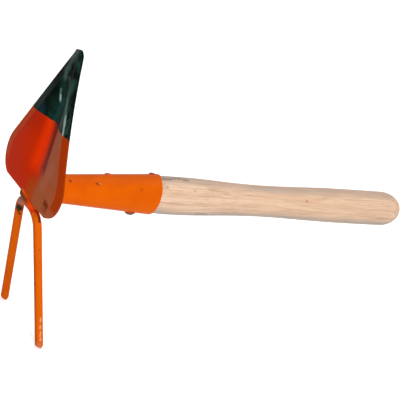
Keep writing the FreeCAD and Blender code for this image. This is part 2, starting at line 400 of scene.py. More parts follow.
    def layered(self, under: Source, coats: tuple[Coat, ...]) -> Source:
        """Lay coats in order, and take up their roughness and their height.

        Args:
            under: The colour below them.
            coats: The coats.

        Returns:
            The resulting colour.
        """
        for coat in coats:
            cover = self.covered(coat)
            layers = {MIX_FACTOR: cover, MIX_A: under, MIX_B: linear_colour(coat.colour)}
            under = self.add("ShaderNodeMix", layers, data_type="RGBA").outputs[MIX_RESULT]
            if coat.roughness is not None:
                blend = {"Value": cover, "To Min": self.roughness, "To Max": coat.roughness}
                self.roughness = self.add("ShaderNodeMapRange", blend).outputs["Result"]
            if coat.rise_mm:
                raised = {0: cover, 1: coat.rise_mm, 2: self.height}
                self.height = self.add("ShaderNodeMath", raised, operation="MULTIPLY_ADD").outputs["Value"]
        return under

    def finished(
        self, inputs: Mapping[str, Source], relief: Patches | None = None, relief_mm: float = 0.0
    ) -> bpy.types.Material:
        """Join everything to the shader.

        Args:
            inputs: The shader's inputs, apart from its roughness and normal.
            relief: A fine pattern that the whole surface is raised by.
            relief_mm: How far it rises.

        Returns:
            The finished material.
        """
        if relief is not None:
            raised = {0: self.mottled(relief), 1: relief_mm, 2: self.height}
            self.height = self.add("ShaderNodeMath", raised, operation="MULTIPLY_ADD").outputs["Value"]
        inputs = {**inputs, "Roughness": self.roughness}
        if isinstance(self.height, bpy.types.NodeSocket):
            bump = self.add("ShaderNodeBump", {"Height": self.height, "Distance": MM})
            inputs["Normal"] = bump.outputs["Normal"]
        shader = self.add("ShaderNodeBsdfPrincipled", inputs)
        self.add("ShaderNodeOutputMaterial", {"Surface": shader.outputs["BSDF"]})
        return self.material


@dataclass(frozen=True)
class Finish(ABC):
    """A finish, and the name of the material that shows it."""

    name: str

    @abstractmethod
    def build(self) -> bpy.types.Material:
        """Make the material."""


@dataclass(frozen=True)
class Enamel(Finish):
    """Air-drying alkyd enamel, dipped over mild steel.

    It gives an even orange gloss with a faint orange-peel ripple, a deeper tone where it ran thin, and
    dark oxide where it is chipped.
    """

    name: str = "dipped_orange_enamel"
    colour: str = "#dd6004"
    thin: str = "#d25704"
    thin_patches: Patches = Patches((26.0, 12.0, 26.0), 0.4, 0.75)
    peel: Patches = Patches((2.2, 2.2, 2.2), 0.0, 1.0, 1.0)
    peel_depth_mm: float = 0.02
    roughness: float = 0.34
    ior: float = 1.5
    specular: float = 0.02
    overlaid_coats: tuple[Coat, ...] = ()

    def build(self) -> bpy.types.Material:
        """Make the material.

        Returns:
            The material.
        """
        surface = Surface(self.name, self.roughness)
        thin = Coat(self.thin, patches=self.thin_patches)
        inputs = {
            "Base Color": surface.layered(linear_colour(self.colour), (thin,) + self.overlaid_coats),
            "IOR": self.ior,
            "Specular IOR Level": self.specular,
        }
        return surface.finished(inputs, self.peel, self.peel_depth_mm)


@dataclass(frozen=True)
class DippedBladeEnamel(Finish):
    """The blade's red gloss enamel, with its point dipped again in near-black lacquer.

    On the red, a painted highlight lies along the rib, painted shade on the rib's near slope and a
    painted pale reflection on the near wing, and the ground strips are brown. The second dip ends in a
    crisp, slightly crooked line, with painted highlights, a painted sheen and painted reflections on the
    lacquer.
    """

    name: str = "red_enamel_with_lacquered_point"
    colour: str = "#d42d01"
    coats: tuple[Coat, ...] = ()
    lacquer: str = "#020c08"
    lacquer_coats: tuple[Coat, ...] = ()
    dip_height_mm: float = 58.8
    dip_tilt: float = -0.025
    dip_crown_per_mm: float = -0.001
    dip_centre_mm: float = -12.0
    dip_wander: Patches = Patches((5.0, 5.0, 5.0), 0.0, 1.0, 2.0)
    dip_wander_mm: float = 1.4
    dip_edge_mm: float = 0.2
    peel: Patches = Patches((2.4, 2.4, 2.4), 0.0, 1.0, 1.0)
    peel_depth_mm: float = 0.02
    roughness: float = 0.3
    ior: float = 1.5
    specular: float = 0.012

    def dipped(self, surface: Surface) -> bpy.types.NodeSocket:
        """Work out where the second dip reached.

        Args:
            surface: The material under construction.

        Returns:
            An output that is one above the dip's line.
        """
        parts = surface.add("ShaderNodeSeparateXYZ", {0: surface.place})
        offset = {0: parts.outputs["Y"], 1: self.dip_centre_mm}
        across = surface.add("ShaderNodeMath", offset, operation="SUBTRACT").outputs["Value"]
        lean = {0: across, 1: self.dip_crown_per_mm, 2: self.dip_tilt}
        slope = surface.add("ShaderNodeMath", lean, operation="MULTIPLY_ADD").outputs["Value"]
        crowned = {0: slope, 1: across, 2: self.dip_height_mm}
        line = surface.add("ShaderNodeMath", crowned, operation="MULTIPLY_ADD").outputs["Value"]
        rise = {0: parts.outputs["Z"], 1: line}
        above = surface.add("ShaderNodeMath", rise, operation="SUBTRACT").outputs["Value"]
        crooked = {0: surface.mottled(self.dip_wander), 1: self.dip_wander_mm, 2: above}
        wander = surface.add("ShaderNodeMath", crooked, operation="MULTIPLY_ADD").outputs["Value"]
        middle = self.dip_wander_mm / 2
        bounds = {
            "Value": wander, "From Min": middle - self.dip_edge_mm, "From Max": middle + self.dip_edge_mm
        }
        return surface.add("ShaderNodeMapRange", bounds).outputs["Result"]

    def build(self) -> bpy.types.Material:
        """Make the material.

        Returns:
            The material.
        """
        surface = Surface(self.name, self.roughness)
        red = surface.layered(linear_colour(self.colour), self.coats)
        black = surface.layered(linear_colour(self.lacquer), self.lacquer_coats)
        layers = {MIX_FACTOR: self.dipped(surface), MIX_A: red, MIX_B: black}
        inputs = {
            "Base Color": surface.add("ShaderNodeMix", layers, data_type="RGBA").outputs[MIX_RESULT],
            "IOR": self.ior,
            "Specular IOR Level": self.specular,
        }
        return surface.finished(inputs, self.peel, self.peel_depth_mm)


@dataclass(frozen=True)
class SandedAsh(Finish):
    """Ash, turned and sanded but not varnished.

    It is creamy, with faint growth rings about 3 mm apart, dark pores drawn out along the grain, a
    greyer, darker top, painted shade underneath, and grime worked in next to the socket. The pores are
    drawn nearly twice as wide as real ones, which would be too fine to show.
    """

    name: str = "turned_and_sanded_ash"
    early: str = "#e5c3a6"
    late: str = "#d0a888"
    pore: str = "#a67c5c"
    ring_mm: float = 3.2
    ring_drift: float = 2.0
    late_from: float = 0.25
    late_to: float = 0.95
    late_depth: float = 0.6
    heart_mm: Triple = (0.0, 31.0, -38.0)
    drift: Patches = Patches((260.0, 30.0, 30.0), 0.0, 1.0, 2.0)
    pores: Patches = Patches((16.0, 0.45, 0.45), 0.58, 0.72, 2.0)
    pore_strength: float = 0.5
    pore_depth_mm: float = 0.04
    roughness: float = 0.62
    ior: float = 1.45
    overlaid_coats: tuple[Coat, ...] = ()

    def late_wood(self, surface: Surface) -> bpy.types.NodeSocket:
        """Work out the growth rings, round a heart that lies outside the handle.

        Args:
            surface: The material under construction.

        Returns:
            An output that swells slowly across each year and ends sharply.
        """
        centred = surface.add(
            "ShaderNodeVectorMath", {0: surface.place, 1: self.heart_mm}, operation="SUBTRACT"
        )
        section = {0: centred.outputs["Vector"], 1: ACROSS_GRAIN}
        flat = surface.add("ShaderNodeVectorMath", section, operation="MULTIPLY").outputs["Vector"]
        radius = surface.add("ShaderNodeVectorMath", {0: flat}, operation="LENGTH").outputs["Value"]
        drifted = {0: surface.mottled(self.drift), 1: self.ring_drift * self.ring_mm, 2: radius}
        wandered = surface.add("ShaderNodeMath", drifted, operation="MULTIPLY_ADD").outputs["Value"]
        counted = {0: wandered, 1: 1 / self.ring_mm}
        years = surface.add("ShaderNodeMath", counted, operation="MULTIPLY").outputs["Value"]
        year = surface.add("ShaderNodeMath", {0: years}, operation="FRACT").outputs["Value"]
        slow = {
            "Value": year, "From Min": self.late_from, "From Max": self.late_to, "To Max": self.late_depth
        }
        swell = surface.add("ShaderNodeMapRange", slow, interpolation_type="SMOOTHSTEP")
        sharp = {"Value": year, "From Min": 1.0, "From Max": self.late_to}
        fall = surface.add("ShaderNodeMapRange", sharp)
        product = {0: swell.outputs["Result"], 1: fall.outputs["Result"]}
        return surface.add("ShaderNodeMath", product, operation="MULTIPLY").outputs["Value"]

    def build(self) -> bpy.types.Material:
        """Make the material.

        Returns:
            The material.
        """
        surface = Surface(self.name, self.roughness)
        rings = {
            MIX_FACTOR: self.late_wood(surface),
            MIX_A: linear_colour(self.early),
            MIX_B: linear_colour(self.late),
        }
        wood = surface.add("ShaderNodeMix", rings, data_type="RGBA").outputs[MIX_RESULT]
        pores = Coat(self.pore, self.pore_strength, patches=self.pores, rise_mm=-self.pore_depth_mm)
        return surface.finished({"Base Color": surface.layered(wood, (pores,) + self.overlaid_coats), "IOR": self.ior})


@dataclass(frozen=True)
class NailSteel(Finish):
    """Mild steel nail, blackened by the forge, hammered, and smeared with enamel round its foot.

    It is dull and dark brown, with a few rubbed high spots.
    """

    name: str = "forge_blackened_nail_steel"
    scale: str = "#52241a"
    rubbed: str = "#94512f"
    worn: Patches = Patches((1.6, 1.6, 1.6), 0.5, 0.75)
    pits: Patches = Patches((0.7, 0.7, 0.7), 0.0, 1.0)
    pit_depth_mm: float = 0.05
    metallic: float = 0.2
    roughness: float = 0.5
    smears: tuple[Coat, ...] = ()

    def build(self) -> bpy.types.Material:
        """Make the material.

        Returns:
            The material.
        """
        surface = Surface(self.name, self.roughness)
        rubbed = Coat(self.rubbed, patches=self.worn)
        inputs = {
            "Base Color": surface.layered(linear_colour(self.scale), (rubbed,) + self.smears),
            "Metallic": self.metallic,
        }
        return surface.finished(inputs, self.pits, self.pit_depth_mm)


@dataclass(kw_only=True)
class Piece(ABC):
    """A piece of the hoe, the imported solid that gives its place, and the slot that its finish stands for."""

    node: str
    slot: Slot

    @abstractmethod
    def finish(self) -> Finish:
        """Choose the piece's finish."""

    @abstractmethod
    def build(self) -> None:
        """Add the piece to the scene."""


@dataclass(kw_only=True)
class PackedPiece(Piece):
    """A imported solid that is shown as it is."""

    def build(self) -> None:
        """Dress the solid."""
        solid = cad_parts[self.node]
        finish = self.finish()
        solid.data.materials.clear()
        solid.data.materials.append(finish.build())
        log.info("%s dressed in %s", self.node, finish.name)


@dataclass(kw_only=True)
class ModelledPiece(Piece):
    """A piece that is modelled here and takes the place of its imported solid."""

    name: str

    @abstractmethod
    def shape(self) -> bmesh.types.BMesh:
        """Model the piece, in metres and in its place."""

    def build(self) -> None:
        """Model the piece, dress it, and let it ride on the body."""
        mesh = self.shape()
        bmesh.ops.recalc_face_normals(mesh, faces=mesh.faces)
        for face in mesh.faces:
            face.smooth = True
        data = bpy.data.meshes.new(self.name)
        mesh.to_mesh(data)
        mesh.free()
        data.materials.append(self.finish().build())
        piece = bpy.data.objects.new(self.name, data)
        bpy.context.scene.collection.objects.link(piece)
        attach(piece, BODY)
        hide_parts(self.node)
        log.info("%s modelled with %d faces", self.name, len(data.polygons))


@dataclass(frozen=True)
class WeldMetal:
    """The skin of a bead laid by hand: crescent ripples where each pool froze, and soft lumps."""

    pitch_mm: float = 2.1
    ripple_mm: float = 0.28
    crescent_mm: float = 1.6
    lump_size_mm: float = 4.5
    lump_mm: float = 0.5

    def sunk(self, place: Vector, along: float, sideways: float) -> float:
        """Work out how far the skin lies under the bead's full radius.

        Args:
            place: The point on the bead, in millimetres.
            along: How far along the bead it is, in millimetres.
            sideways: How far across the bead it is, from -1 to 1.

        Returns:
            The depth in millimetres, zero or more.
        """
        turn = math.tau * (along + self.crescent_mm * sideways**2) / self.pitch_mm
        ripple = self.ripple_mm * (1 - math.cos(turn)) / 2
        return ripple + self.lump_mm * soft_noise(place, self.lump_size_mm)


# Across the blade in millimetres, but leaning with the rib's flank, so that the rib narrows towards the tip
WITH_RIB: Triple = (0.0, 1.0, -0.18)

# On the sheet's front alone, away from its cut edges and its back
FRONT = Fade(Measure.FACING, ALONG, -0.4, -0.8)

# On the sheet's back alone
BACK = Fade(Measure.FACING, ALONG, 0.4, 0.8)

# On the bevels alone, which lean outward
BEVELS = Fade(Measure.OUTWARD, ACROSS, 0.06, 0.11)

# On the near or the far half of the blade
NEAR_HALF = Fade(Measure.PLACE, ACROSS, 1.0, -1.0)
FAR_HALF = Fade(Measure.PLACE, ACROSS, -1.0, 1.0)

# Away from the blade, across the crown's bead: forward and down
BELOW_BEAD: Triple = (-0.63, 0.08, -0.77)


def painted_lacquer_highlight(colour: str, strength: float, points: tuple[Triple, ...], reaches: tuple[float, ...]) -> Coat:
    """Lay a painted highlight as a streak on the lacquer: soft, and hardly ragged.

    Args:
        colour: Its colour.
        strength: How strongly it covers.
        points: The places that it runs through, in millimetres.
        reaches: The half width of each stretch between them.

    Returns:
        The streak.
    """
    return Coat(colour, strength, marks=stroke(points, reaches), grit_mm=6.0, ragged=0.2, rim=1.1)


@dataclass(kw_only=True)
class Blade(PackedPiece):
    """The heart-shaped hoe blade with its rib, its ground bevels and its lacquered point."""

    node: str = "blade"
    slot: Slot = Slot.BLADE_ENAMEL
    front: tuple[Coat, ...] = (
        # Deeper red towards the point
        Coat("#b02404", 0.55, (FRONT, Fade(Measure.PLACE, UP, 30.0, 52.0))),
        # Brown tinge above the crown's bead
        Coat(
            "#c04a05",
            0.9,
            (FRONT, Fade(Measure.PLACE, UP, 16.0, 4.0), Fade(Measure.PLACE, ACROSS, 8.0, -6.0)),
        ),
        # Painted highlight along the rib
        Coat(
            "#ff3a00",
            fades=(
                FRONT,
                Fade(Measure.PLACE, ACROSS, 14.5, 4.0),
                Fade(Measure.PLACE, WITH_RIB, -16.0, -8.0),
                Fade(Measure.PLACE, UP, 8.0, 22.0),
            ),
        ),
        # Painted shade on the rib's near slope
        Coat(
            "#8a1e00",
            fades=(FRONT, Fade(Measure.PLACE, WITH_RIB, -5.0, -16.5), Fade(Measure.PLACE, UP, 13.0, 24.0)),
        ),
        # Painted pale reflection on the near wing, and on its foot
        Coat(
            "#b45c3a",
            fades=(FRONT, Fade(Measure.PLACE, WITH_RIB, -20.0, -22.8), Fade(Measure.PLACE, UP, 12.0, 24.0)),
        ),
        Coat(
            "#b65c33",
            fades=(FRONT, Fade(Measure.PLACE, ACROSS, -8.0, -17.0), Fade(Measure.PLACE, UP, 26.0, 13.0)),
        ),
        # Brightest part of the painted reflection, in the middle of the wing
        Coat("#c26e54", 0.35, (FRONT,), marks=(Mark((-351.0, -26.0, 30.0), 7.0, (-352.0, -22.0, 14.0)),)),
    )
    edges: tuple[Coat, ...] = (
        # Ground strips, the far one less worn
        Coat("#b43a04", fades=(FRONT, BEVELS)),
        Coat("#cc4200", fades=(FRONT, BEVELS, FAR_HALF)),
        # Cut edges of the sheet, which face neither forward nor back
        Coat(
            "#96380a", fades=(Fade(Measure.FACING, ALONG, -0.5, -0.3), Fade(Measure.FACING, ALONG, 0.5, 0.3))
        ),
    )
    back: tuple[Coat, ...] = (
        # Sags of thicker enamel
        Coat("#a81e04", 0.6, (BACK,), Patches((6.0, 5.0, 44.0), 0.48, 0.72)),
        # Chips
        Coat(
            "#5c1c0a",
            0.85,
            (BACK,),
            marks=(
                Mark((-350.0, 31.0, 22.0), 1.6, (-350.0, 33.0, 20.6)),
                Mark((-350.0, -38.0, 34.0), 1.4),
                Mark((-350.0, -22.0, 48.0), 1.2, (-350.0, -20.8, 49.0)),
            ),
            grit_mm=0.8,
            ragged=0.4,
            roughness=0.7,
        ),
    )
    scar: tuple[Coat, ...] = (
        # Scraped spot on the near lobe, and its fainter tail
        Coat(
            "#7a2f10",
            0.9,
            marks=(Mark((-352.0, -33.4, 3.4), 3.9, (-352.0, -37.2, 3.0)),),
            grit_mm=2.4,
            ragged=0.22,
            roughness=0.55,
        ),
        Coat("#8f3a18", 0.7, marks=(Mark((-352.1, -33.0, -1.8), 2.8, (-352.1, -37.5, -1.2)),), rim=0.9),
    )
    lacquer: tuple[Coat, ...] = (
        # Green cast where it lies thinner
        Coat("#1d4438", 0.6, (FRONT,), Patches((9.0, 9.0, 14.0), 0.42, 0.72)),
        # Deepest black down the far wing
        Coat(
            "#030d07",
            0.9,
            (FRONT,),
            marks=stroke(((-346.2, 10.2, 89.0), (-347.1, 14.6, 76.1), (-347.2, 15.6, 60.0)), (7.5, 11.5)),
            grit_mm=7.0,
            rim=1.1,
        ),
        # Dull green beside the rib
        Coat(
            "#3d625b",
            0.6,
            (FRONT,),
            marks=(Mark((-346.0, -8.0, 96.0), 7.0, (-347.0, -14.0, 64.0)),),
            rim=0.9,
        ),
        # Painted green sheen on the rib
        Coat(
            "#1c4a44",
            0.75,
            (FRONT,),
            marks=(Mark((-344.0, -1.0, 76.0), 9.0, (-344.4, 2.0, 60.0)),),
            grit_mm=6.0,
            rim=0.9,
        ),
        # Blue-black in the far corner
        Coat(
            "#12303a",
            0.8,
            (FRONT,),
            marks=(Mark((-349.0, 23.0, 64.0), 8.0, (-349.0, 19.0, 59.0)),),
            grit_mm=5.0,
            rim=0.9,
        ),
        # Greyed far bevel, and mottled near bevel
        Coat("#293a30", 0.55, (FRONT, BEVELS, FAR_HALF)),
        Coat("#2c4a3e", 0.9, (FRONT, BEVELS, NEAR_HALF), Patches((2.5, 2.5, 6.0), 0.35, 0.7)),
    )
    painted_lacquer_highlights_and_drag_lines: tuple[Coat, ...] = (
        # Painted highlight streaking down from the point along the far edge
        Coat(
            "#5c706a",
            0.6,
            marks=stroke(
                ((-342.6, 1.5, 119.0), (-343.9, 4.7, 109.7), (-344.6, 7.4, 101.1), (-344.4, 5.0, 95.4)),
                (6.0, 5.6, 4.4),
            ),
            grit_mm=7.0,
            rim=1.1,
        ),
        # Painted highlight in a fine line along the far bevel
        Coat(
            "#586a66",
            0.5,
            marks=(Mark((-347.0, 15.0, 103.0), 1.2, (-348.0, 26.0, 76.0)),),
            grit_mm=4.0,
            rim=0.9,
        ),
        # Painted reflection as a pale streak up the near wing, which thins out over the rib
        Coat(
            "#b4cacb",
            0.85,
            marks=stroke(((-349.4, -24.9, 58.0), (-348.6, -20.9, 66.5), (-348.0, -18.0, 72.0)), (2.0, 2.4)),
            grit_mm=6.0,
            ragged=0.15,
            rim=0.9,
        ),
        painted_lacquer_highlight("#7d9893", 0.55, ((-348.0, -18.0, 72.0), (-346.4, -10.7, 83.4)), (3.0,)),
        painted_lacquer_highlight(
            "#7d9893",
            0.25,
            ((-346.4, -10.7, 83.4), (-344.6, -6.4, 88.4), (-343.5, -2.4, 92.8), (-343.7, 0.8, 97.6)),
            (2.6, 2.5, 2.3),
        ),
        # Painted glint on the rib, pale in its middle
        painted_lacquer_highlight("#7f9a92", 0.55, ((-344.8, 6.0, 84.6), (-344.0, 3.6, 75.8)), (1.8,)),
        painted_lacquer_highlight("#c3d2cc", 0.8, ((-344.4, 4.8, 80.2), (-344.1, 3.8, 77.2)), (1.9,)),
        # Faint drag lines on the back
        Coat("#4a5a58", 0.5, (BACK,), Patches((3.0, 3.5, 26.0), 0.5, 0.85)),
    )

    def finish(self) -> DippedBladeEnamel:
        """Dip the blade in red and its point in lacquer."""
        return DippedBladeEnamel(
            coats=self.front + self.edges + self.back + self.scar,
            lacquer_coats=self.lacquer + self.painted_lacquer_highlights_and_drag_lines,
        )


def chipped(colour: str, *marks: Mark) -> Coat:
    """Chip the enamel down to the steel's dark, dull oxide.

    Args:
        colour: The oxide's colour.
        *marks: The chips.

    Returns:
        The coat that shows them.
    """
    return Coat(colour, marks=marks, grit_mm=0.8, ragged=0.4, rise_mm=-0.08, roughness=0.7)


@dataclass(kw_only=True)
class Socket(PackedPiece):
    """The rolled socket, chipped here and there."""

    node: str = "socket"
    slot: Slot = Slot.ENAMEL
    chips: tuple[Coat, ...] = (
        # Stains round the chips
        Coat(
            "#a8480e",
            0.75,
            marks=(
                Mark((-318.9, -5.9, 10.6), 2.5),
                Mark((-294.8, -8.2, 10.8), 2.3, (-293.0, -8.7, 10.5)),
                Mark((-253.7, -12.6, 10.0), 2.0),
                Mark((-306.0, 12.2, 4.4), 2.4),
                Mark((-268.0, 13.8, -6.4), 2.2, (-265.5, 14.0, -6.2)),
                Mark((-246.0, 12.7, 10.7), 1.8),
            ),
            rim=0.9,
        ),
        chipped(
            "#6a3014",
            Mark((-319.4, -5.6, 10.9), 0.8, (-318.2, -6.4, 10.3)),
            Mark((-294.6, -8.2, 10.9), 1.1),
            Mark((-305.6, 12.2, 4.4), 1.0),
            Mark((-267.5, 13.8, -6.4), 1.0, (-266.0, 14.0, -6.2)),
            Mark((-322.0, 4.1, -11.2), 1.2),
        ),
        # Pale scratch beside one of them
        Coat("#eaa87c", 0.6, marks=(Mark((-292.8, -8.2, 11.0), 0.5, (-290.8, -8.6, 11.0)),), rim=0.8),
    )

    def finish(self) -> Enamel:
        """Dip the socket and chip it."""
        return Enamel("enamel_on_socket", overlaid_coats=self.chips)


@dataclass(kw_only=True)
class Fork(PackedPiece):
    """The round bar that is bent to two tines, burnt by the weld at its far bend, with painted shade at its
    near bend, and worn at its tips.
    """

    node: str = "fork"
    slot: Slot = Slot.ENAMEL
    near_bend: tuple[Coat, ...] = (
        # Painted shade, browner, on the front of the near tine
        Coat(
            "#a04c1c",
            0.55,
            (Fade(Measure.FACING, ALONG, -0.75, -0.97), Fade(Measure.PLACE, ACROSS, -16.0, -20.0)),
        ),
        # Red run from the bead, paler at its end
        Coat("#ea3c04", 0.9, marks=(Mark((-350.0, -10.0, -10.0), 6.0, (-347.8, -13.0, -14.8)),), rim=0.9),
        Coat("#ea7a34", 0.7, marks=(Mark((-347.6, -13.9, -16.9), 2.2),), rim=0.9),
        # Painted shade next to the blade, under its edge
        Coat("#4a1604", marks=(Mark((-344.8, -13.2, -13.6), 2.2, (-343.0, -19.6, -20.4)),), rim=1.0),
    )
    far_bend: tuple[Coat, ...] = (
        # Enamel dulled by the weld's heat
        Coat(
            "#a8766a", 0.9, marks=(Mark((-348.6, 10.6, -16.5), 5.6, (-347.0, 11.8, -21.5)),), roughness=0.5
        ),
        # Burn, and the brown line that runs down from it
        Coat(
            "#2e2e1c",
            marks=(
                Mark((-347.0, 14.8, -26.6), 3.8, (-343.6, 16.0, -28.2)),
                Mark((-347.4, 12.2, -24.6), 2.6, (-347.0, 14.8, -26.6)),
            ),
            ragged=0.4,
            rim=0.5,
        ),
        Coat("#70340e", marks=(Mark((-345.2, 17.6, -29.5), 1.3, (-340.6, 15.6, -35.6)),), ragged=0.4),
    )
    tines: tuple[Coat, ...] = (
        chipped(
            "#6a3a12",
            Mark((-339.2, -25.5, -43.5), 0.7),
            Mark((-335.9, -28.4, -72.6), 0.7, (-335.3, -28.8, -74.4)),
        ),
        # Pale scuffs above the near tip
        Coat(
            "#f2a878",
            0.8,
            marks=(
                Mark((-325.1, -36.8, -101.6), 1.1, (-324.6, -37.4, -104.4)),
                Mark((-324.1, -38.1, -108.1), 1.2, (-323.7, -38.5, -110.2)),
                Mark((-322.8, -39.1, -113.3), 1.1, (-322.3, -39.7, -116.8)),
                Mark((-321.5, -40.2, -119.0), 1.3, (-321.2, -40.5, -120.4)),
            ),
            grit_mm=1.0,
            ragged=0.5,
            rim=0.8,
            rise_mm=-0.05,
        ),
        # Chisel ends worn by the soil
        Coat(
            "#c87850",
            0.75,
            marks=(Mark((-321.6, -40.6, -126.4), 4.4), Mark((-321.6, 40.6, -126.4), 3.6)),
            grit_mm=2.0,
            roughness=0.5,
        ),
    )

    def finish(self) -> Enamel:
        """Dip the fork, burn its far bend, paint shade at its near bend and scuff its tines."""
        return Enamel("enamel_on_fork", overlaid_coats=self.near_bend + self.far_bend + self.tines)


@dataclass(kw_only=True)
class Handle(PackedPiece):
    """The turned handle, darker on top, with painted shade underneath, and soiled where it leaves the socket.
    """

    node: str = "handle"
    slot: Slot = Slot.ASH
    figure: tuple[Coat, ...] = (
        # Warmer wood towards the grip
        Coat("#d6b08d", 0.4, (Fade(Measure.PLACE, ALONG, -200.0, -130.0),)),
        # Brown and finer brown streaks, pale flares and broad clouds along the grain
        Coat("#b0866e", 0.55, patches=Patches((48.0, 1.5, 1.5), 0.48, 0.7)),
        Coat("#a98670", 0.45, patches=Patches((26.0, 0.9, 0.9), 0.52, 0.72)),
        Coat("#efd0b3", 0.4, patches=Patches((45.0, 4.0, 4.0), 0.5, 0.75)),
        Coat("#d0a88c", 0.4, patches=Patches((30.0, 9.0, 9.0), 0.5, 0.8)),
    )
    darker_top_and_shaded_underside: tuple[Coat, ...] = (
        # Greyer and darker on top, and painted shade underneath, stronger, where the handle faces down
        Coat("#a8948a", 0.65, (Fade(Measure.FACING, UP, 0.74, 1.0),), Patches((60.0, 5.0, 5.0), 0.2, 0.65)),
        Coat(
            "#948e88", 0.8, (Fade(Measure.FACING, DOWN, 0.05, 0.8),), Patches((60.0, 5.0, 5.0), 0.15, 0.55)
        ),
    )
    grime: tuple[Coat, ...] = (
        # Worked in on top, next to the socket's mouth
        Coat(
            "#66645a",
            0.8,
            marks=(
                Mark((-230.4, -1.6, 15.9), 3.4, (-222.2, -1.2, 16.3)),
                Mark((-218.5, -0.2, 16.3), 2.8, (-212.1, 0.4, 16.3)),
                Mark((-209.5, -0.8, 16.3), 2.6, (-205.3, -2.2, 16.2)),
            ),
            grit_mm=1.6,
            ragged=0.6,
            rim=0.9,
        ),
        # Greenish touches, one beside the mouth and one below
        Coat(
            "#8a8a72",
            0.7,
            marks=(Mark((-227.7, -9.7, 12.8), 2.2), Mark((-192.0, -13.2, -9.2), 3.6, (-183.5, -12.6, -9.6))),
            grit_mm=2.0,
            rim=0.9,
        ),
    )
    flecks: tuple[Coat, ...] = (
        # Pin knot, and a resin-brown fleck on the grip
        Coat("#b28a5c", 0.7, marks=(Mark((-200.7, -11.4, 11.6), 1.8),), rim=0.9),
        Coat("#b0652f", 0.9, marks=(Mark((-79.8, -11.7, 8.7), 1.6),), rim=0.8),
    )

    def finish(self) -> SandedAsh:
        """Sand the handle, grain it, darken its top, paint shade on its underside and soil it next to the
        socket.
        """
        return SandedAsh(overlaid_coats=self.figure + self.darker_top_and_shaded_underside + self.grime + self.flecks)


@dataclass(kw_only=True)
class CrownBead(ModelledPiece):
    """The bead that ties the blade's base edge, the socket's nose and the fork's crown together.

    It is laid across the front and runs down into the near bend.
    """

    node: str = "crown_weld"
    name: str = "crown_bead"
    slot: Slot = Slot.ENAMEL
    start_mm: Triple = (-349.7, 4.4, -7.6)
    end_mm: Triple = (-348.4, -10.5, -10.8)
    radius_mm: float = 4.7
    rings: int = 110
    sides: int = 56
    skin: WeldMetal = WeldMetal()
    # Painted shade and a painted highlight, over the bead's real red run and burn
    overlaid_coats: tuple[Coat, ...] = (
        # Painted shade where the bead turns away from the front
        Coat("#c4521a", 0.5, (Fade(Measure.FACING, ALONG, -0.95, -0.6),)),
        # Painted highlight along the ridge under the blade's edge, and the red run towards the near bend
        Coat(
            "#fa5c10",
            0.9,
            marks=(Mark((-354.0, 5.0, -5.6), 2.4, (-353.2, -6.0, -7.6)),),
            grit_mm=3.0,
            rim=0.9,
        ),
        Coat("#ee3c02", marks=(Mark((-353.0, -6.5, -8.6), 5.0, (-350.0, -13.5, -13.0)),), rim=0.9),
        # Painted shade on the underside, and the burn at its far end
        Coat(
            "#74340e",
            0.95,
            (Fade(Measure.FACING, BELOW_BEAD, 0.0, 0.4), Fade(Measure.PLACE, ACROSS, -9.5, -5.0)),
        ),
        Coat("#33301a", 0.9, marks=(Mark((-352.4, 6.4, -10.4), 4.0),), ragged=0.4),
    )

    def laid(self, unit: Vector, half: float) -> tuple[Vector, Vector]:
        """Stretch a point of a unit ball to a bead along Z, its rings evenly spaced.

        Args:
            unit: The point on the ball.
            half: Half of the bead's straight run, in millimetres.

        Returns:
            The nearest point of the bead's middle line, and the direction from there to the skin.
        """
        quarter = self.radius_mm * math.pi / 2
        run = math.acos(max(-1.0, min(1.0, unit.z))) / math.pi * 2 * (quarter + half)
        if run < quarter:
            middle, tilt = half, run / self.radius_mm
        elif run > quarter + 2 * half:
            middle, tilt = -half, (run - 2 * half) / self.radius_mm
        else:
            middle, tilt = half + quarter - run, math.pi / 2
        around = Vector((unit.x, unit.y, 0.0))
        if around.length > 0:
            around.normalize()
        return Vector((0.0, 0.0, middle)), around * math.sin(tilt) + Vector((0.0, 0.0, math.cos(tilt)))

    def shape(self) -> bmesh.types.BMesh:
        """Lay the bead.

        Returns:
            Its mesh.
        """
        start, end = Vector(self.start_mm), Vector(self.end_mm)
        half = (end - start).length / 2
        turn = (end - start).to_track_quat("Z", "X").to_matrix()
        mesh = bmesh.new()
        bmesh.ops.create_uvsphere(mesh, u_segments=self.sides, v_segments=self.rings, radius=1.0)
        for vertex in mesh.verts:
            middle, outward = self.laid(vertex.co, half)
            skin = middle + outward * self.radius_mm
            depth = self.skin.sunk(skin, skin.z, outward.x)
            place = turn @ (middle + outward * (self.radius_mm - depth)) + (start + end) / 2
            vertex.co = place * MM
        return mesh

    def finish(self) -> Enamel:
        """Dip the bead, run it red, burn its far end, and paint shade on its sides and underside and a
        highlight on its ridge.
        """
        return Enamel("enamel_on_crown_bead", overlaid_coats=self.overlaid_coats)


